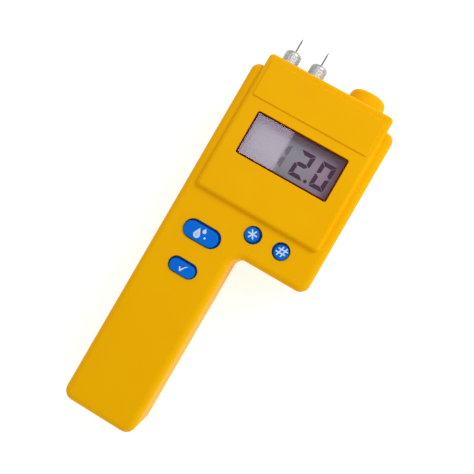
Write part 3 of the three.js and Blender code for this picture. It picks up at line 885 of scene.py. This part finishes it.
def button(name):
    body = f"{name}_button"
    low, high = drawn_box(body)
    flange_grow, flange_thickness, cap_inset, cap_edge, stem_radius = 1.1, 1.6, 0.75, 0.9, 1.6
    cx, cy = (low.x + high.x) / 2, (low.y + high.y) / 2
    hole_x, hole_y, width, height = BUTTON_HOLES[name]
    lean_x, lean_y = CAP_LEAN[name]
    flange_top = CEILING - 0.4
    cap = prism(stadium(cx + lean_x, cy + lean_y, width, height),
                [(cap_inset, flange_top - 2), *rounded(cap_edge, high.z, cap_inset)])
    flange = prism(stadium(cx, cy, width, height),
                   [(-flange_grow, flange_top - flange_thickness), (-flange_grow, flange_top)])
    stem = cylinder(hole_x, hole_y, stem_radius, low.z, flange_top - 1)
    place(f"{name}_cap", union(cap, flange, stem), body, [body], [BLUE])
    print_foot, print_top = high.z - 0.03, high.z + 0.03
    place(f"{name}_symbol", symbol(name, print_foot, print_top), body, [], [INK])
    if name == "drops":
        heart = drop(hole_x, hole_y, LARGE_DROP, print_top, high.z + 0.045, 0.55)
        place("drops_symbol_heart", heart, body, [], [INK_SOFT])


# ---------------------------------------------------------------- pins
RETAINER_RADIUS = 4.9
KNURL_DEPTH = 0.24
KNURL_TEETH = 30
KNURL_FOOT, KNURL_TOP = 103.6, 111.4


def knurl(turn, height):
    """Two crossing helical grooves that leave small diamonds standing."""
    if not KNURL_FOOT < height < KNURL_TOP:
        return 0.0
    fade = min(1, (height - KNURL_FOOT) / 0.5, (KNURL_TOP - height) / 0.5)
    climb = height / RETAINER_RADIUS
    rising = abs(math.sin(KNURL_TEETH / 2 * (turn + climb)))
    falling = abs(math.sin(KNURL_TEETH / 2 * (turn - climb)))
    return -KNURL_DEPTH * fade * (1 - min(rising, falling)) * (0.55 + 0.45 * (1 - max(rising, falling)))


THREAD_PITCH, THREAD_FOOT, THREAD_DEPTH = 0.8, 97, 0.42


def thread(turn, height):
    """A right-hand thread, above the plain foot of the post."""
    if height < THREAD_FOOT:
        return 0.0
    phase = (height / THREAD_PITCH - turn / (2 * math.pi)) % 1
    return -THREAD_DEPTH * abs(2 * phase - 1)


def pin_set(side):
    x = PINS[side]
    centre = (x, AXIS_Z)
    low, high = drawn_box(f"pin_retainer_{side}")
    foot, top, shoulder = low.y, high.y, 112
    crown, bore, needle, plain = 2.1, 3.35, 0.45, 4.85
    collar, collar_radius = 108.3, 1.3
    rows = 60
    band = [(RETAINER_RADIUS, KNURL_FOOT + (KNURL_TOP - KNURL_FOOT) * k / rows) for k in range(rows + 1)]
    dome = [(crown + (RETAINER_RADIUS - crown) * math.cos(a), shoulder + (top - shoulder) * math.sin(a))
            for a in (k / 8 * math.pi / 2 for k in range(9))]
    hole = needle + 0.35
    seat = collar + 1.3
    profile = [(bore, foot), (4.5, foot), (4.75, foot + 0.1), (plain, foot + 0.3), (plain, KNURL_FOOT - 0.1),
               *band, (plain, KNURL_TOP + 0.1), *dome, (hole + 0.2, top), (hole, top - 0.2), (hole, seat),
               (bore, seat)]
    retainer = turned(profile, centre, 180, ring=True, relief=knurl)
    place(f"retainer_{side}", retainer, f"pin_retainer_{side}", [f"pin_retainer_{side}"],
          [NICKEL])

    low, high = drawn_box(f"contact_pin_{side}")
    point = 2.6
    needle_profile = [
        (0, low.y), (needle, low.y), (needle, collar), (collar_radius, collar), (collar_radius, collar + 1),
        (needle, collar + 1), (needle, high.y - point), (0.4, high.y - point * 0.75),
        (0.26, high.y - point * 0.35), (0.1, high.y - 0.05), (0, high.y),
    ]
    place(f"needle_{side}", turned(needle_profile, centre, 24), f"contact_pin_{side}",
          [f"contact_pin_{side}"], [STEEL])

    low, high = drawn_box(f"pin_post_{side}")
    bore_foot = THREAD_FOOT - 0.1
    radius = 3
    rows = 120
    threaded = [(radius, THREAD_FOOT + (high.y - 0.3 - THREAD_FOOT) * k / rows) for k in range(rows + 1)]
    post_profile = [(0, low.y), (2.7, low.y), (radius, low.y + 0.3), *threaded, (2.6, high.y),
                    (hole, high.y), (hole, bore_foot), (0, bore_foot)]

    def relief(turn, height):
        """The thread ends below the post's top edge."""
        return thread(turn, height) if height < high.y - 0.2 else 0

    post = turned(post_profile, centre, 48, relief=relief)
    place(f"threaded_post_{side}", post, "case", [f"pin_post_{side}"], [BRASS])


# ---------------------------------------------------------------- electrode connector
def connector():
    centre = (CONNECTOR_X, AXIS_Z)
    length = drawn_box("connector_shroud")[1].y - NOSE_TOP
    radius, bore, flange, crown, dome_height = 10.4, 7.4, 12, 7.8, 3.6
    floor_top, floor_bottom, floor_hole = -2.4, -4.6, 5.3
    wall_inside = -2.8
    foot = length - dome_height
    dome = [(crown + (radius - crown) * math.cos(a), foot + dome_height * math.sin(a))
            for a in (k / 14 * math.pi / 2 for k in range(15))]
    profile = [(floor_hole, floor_bottom), (flange, floor_bottom), (flange, wall_inside),
               (radius, wall_inside), *dome, (7.6, length - 0.06), (7.46, length - 0.2),
               (bore, length - 0.45), (bore, floor_top), (floor_hole, floor_top)]
    shroud = turned([(r, NOSE_TOP + t) for r, t in profile], centre, 128, ring=True)
    place("shroud", shroud, "case", ["connector_shroud"], [YELLOW])

    barrel, barrel_bore, barrel_end = 4.85, 4.05, 7
    neck, neck_bore, neck_end = 4.95, 2.7, -11
    collar, collar_foot, collar_top = 6.8, -2.1, -0.9
    profile = [
        (neck_bore, neck_end), (4.6, neck_end), (neck, neck_end + 0.35), (neck, collar_foot),
        (collar, collar_foot), (collar, -1.1), (6.6, collar_top), (barrel, collar_top),
        (barrel, barrel_end - 0.3), (4.55, barrel_end), (4.25, barrel_end),
        (barrel_bore, barrel_end - 0.25), (barrel_bore, 0.4), (neck_bore, 0.4),
    ]
    shell = turned([(r, NOSE_TOP + t) for r, t in profile], centre, 96, ring=True)
    lug_y = NOSE_TOP + 4.6
    reach = [(0, 4.3), (0.9, 4.3), (0.9, 5.4), (0.75, 5.62), (0.4, 5.7), (0, 5.7)]
    lugs = [turned([(r, CONNECTOR_X + side * x) for r, x in reach], (lug_y, AXIS_Z), 24, axis="X")
            for side in (-1, 1)]
    place("jack_shell", union(shell, *lugs), "case", ["connector_shell"], [NICKEL])

    insulator = [(1, -13), (2.4, -13), (2.4, 5.1), (2.1, 5.4), (1.2, 5.4), (1, 5.2)]
    place("jack_insulator", turned([(r, NOSE_TOP + t) for r, t in insulator], centre, 48, ring=True),
          "case", ["connector_insulator"], [WHITE])
    contact = [(0, -15), (0.7, -15), (0.7, 4.6), (0.45, 4.95), (0, 5)]
    place("jack_contact", turned([(r, NOSE_TOP + t) for r, t in contact], centre, 32), "case",
          ["connector_contact"], [BRASS])


# ---------------------------------------------------------------- battery
def battery():
    low, high = drawn_box("battery")
    jacket_top = high.y - 2.15
    stud_inset, edge = 7, 1.2
    jacket = prism(rounded_rectangle(low.x, low.y, high.x, jacket_top, 1.5),
                   rounded(edge, low.z, up=False, steps=5) + rounded(edge, high.z, steps=5))
    centre_z = (low.z + high.z) / 2
    foot, cup_floor, top = jacket_top - 1, jacket_top + 0.3, high.y
    round_stud = [(0, foot), (2.9, foot), (2.9, top - 0.6), (2.6, top - 0.2), (2.2, top), (1.9, top),
                  (1.9, cup_floor), (0, cup_floor)]
    flared_stud = [(0, foot), (2.0, foot), (2.0, top - 1), (2.8, top), (2.3, top), (1.5, top - 1),
                   (1.5, cup_floor), (0, cup_floor)]
    studs = [turned(round_stud, (low.x + stud_inset, centre_z), 32),
             turned(flared_stud, (high.x - stud_inset, centre_z), 6)]

    def bare(centre, normal):
        """The studs above the jacket are plated metal."""
        return 1 if centre.y > jacket_top + 0.01 else 0

    place("battery_block", union(jacket, *studs), "case", ["battery"],
          [JACKET, NICKEL], paint=bare)


# ---------------------------------------------------------------- assembly
front_case()
rear_case()
battery_door()
for index, screw_centre in enumerate(CASE_SCREWS):
    case_screw(index + 1, screw_centre)
display()
for button_name in BUTTON_HOLES:
    button(button_name)
for pin_side in PINS:
    pin_set(pin_side)
connector()
battery()
# Each CAD node takes the look of its material slot. Those that no piece replaces are shown like this.
for subpart in frame["record"]["subparts"]:
    node = frame["nodes"][subpart["node"]]
    look = SLOT_LOOKS[subpart["material_slot"]]
    node.data.materials.clear()
    node.data.materials.append(look)

# ---------------------------------------------------------------- studio
FLOOR_SIZE = 6.0
FLOOR_LEVEL = -0.0003
# A bright card over the model, which only its glossy faces see: its light fades in from the left edge.
CARD = {
    "left": -0.34, "right": -0.071, "foot": 0.07, "top": 0.42, "height": 0.7, "fade": 0.16, "strength": 4.6,
}


def card(name, corners, look):
    """A flat staged card through row-frame corners, in metres."""
    mesh = bpy.data.meshes.new(name)
    mesh.from_pydata(corners, [], [tuple(range(len(corners)))])
    mesh.materials.append(look)
    thing = bpy.data.objects.new(name, mesh)
    bpy.context.scene.collection.objects.link(thing)
    return thing


floor_look, _, _, floor_shader = new_material("floor")
floor_shader.inputs["Base Color"].default_value = (0.5, 0.5, 0.5, 1)
floor_shader.inputs["Roughness"].default_value = 0.9
floor_shader.inputs["Emission Color"].default_value = (1, 1, 1, 1)
floor_shader.inputs["Emission Strength"].default_value = 0.72
half = FLOOR_SIZE / 2
card("floor", [(-half, -half, FLOOR_LEVEL), (half, -half, FLOOR_LEVEL), (half, half, FLOOR_LEVEL),
               (-half, half, FLOOR_LEVEL)], floor_look)

glow, glow_nodes, glow_links, glow_shader = new_material("reflected_card")
glow_nodes.remove(glow_shader)
emission = glow_nodes.new("ShaderNodeEmission")
fade_where = glow_nodes.new("ShaderNodeTexCoord")
fade_parts = glow_nodes.new("ShaderNodeSeparateXYZ")
fade = glow_nodes.new("ShaderNodeMapRange")
fade.inputs["From Min"].default_value = CARD["left"]
fade.inputs["From Max"].default_value = CARD["left"] + CARD["fade"]
fade.inputs["To Max"].default_value = CARD["strength"]
emission.inputs["Color"].default_value = linear(244, 232, 255)
glow_links.new(fade_where.outputs["Object"], fade_parts.inputs["Vector"])
glow_links.new(fade_parts.outputs["X"], fade.inputs["Value"])
glow_links.new(fade.outputs["Result"], emission.inputs["Strength"])
glow_links.new(emission.outputs["Emission"], glow_nodes["Material Output"].inputs["Surface"])
reflected = card("reflected_card", [
    (CARD["left"], CARD["foot"], CARD["height"]), (CARD["left"], CARD["top"], CARD["height"]),
    (CARD["right"], CARD["top"], CARD["height"]), (CARD["right"], CARD["foot"], CARD["height"]),
], glow)
reflected.visible_camera = False
reflected.visible_diffuse = False
reflected.visible_shadow = False


def softbox(name, position, target, size, power, colour=(1, 1, 1)):
    """A rectangular lamp that faces its target, both in row-frame metres."""
    light = bpy.data.lights.new(name, "AREA")
    light.shape = "RECTANGLE"
    light.size, light.size_y = size
    light.energy = power
    light.color = colour
    lamp = bpy.data.objects.new(name, light)
    lamp.location = position
    lamp.rotation_euler = (Vector(target) - Vector(position)).to_track_quat("-Z", "Y").to_euler()
    bpy.context.scene.collection.objects.link(lamp)


softbox("key", (0.30, 0.42, 0.50), (0, 0.02, 0.02), (0.35, 0.35), 1.8, (1, 0.98, 0.94))
softbox("side", (0.75, -0.15, 0.22), (0, -0.03, 0.03), (0.5, 0.3), 0.4)

world = bpy.data.worlds.new("studio")
world.use_nodes = True
world.node_tree.nodes["Background"].inputs["Color"].default_value = (1, 1, 1, 1)
world.node_tree.nodes["Background"].inputs["Strength"].default_value = 0.6
bpy.context.scene.world = world
bpy.context.scene.view_settings.view_transform = "Standard"

# ---------------------------------------------------------------- camera
# The photo looks almost straight down on the face, with the meter turned clockwise in the picture.
TILT_Y, TILT_X, ROLL = math.radians(5.49), math.radians(0.58), math.radians(30.1)
DISTANCE = 0.3449
camera_data = bpy.data.cameras.new("camera")
camera_data.lens = 50
camera_data.sensor_width = 36
camera = bpy.data.objects.new("camera", camera_data)
bpy.context.scene.collection.objects.link(camera)
aim = Vector((-0.0033, 0.0025, FACE * MM))
tilt = Matrix.Rotation(TILT_Y, 4, "Y") @ Matrix.Rotation(TILT_X, 4, "X") @ Matrix.Rotation(ROLL, 4, "Z")
camera.matrix_world = Matrix.Translation(aim) @ tilt @ Matrix.Translation((0, 0, DISTANCE))
bpy.context.scene.camera = camera
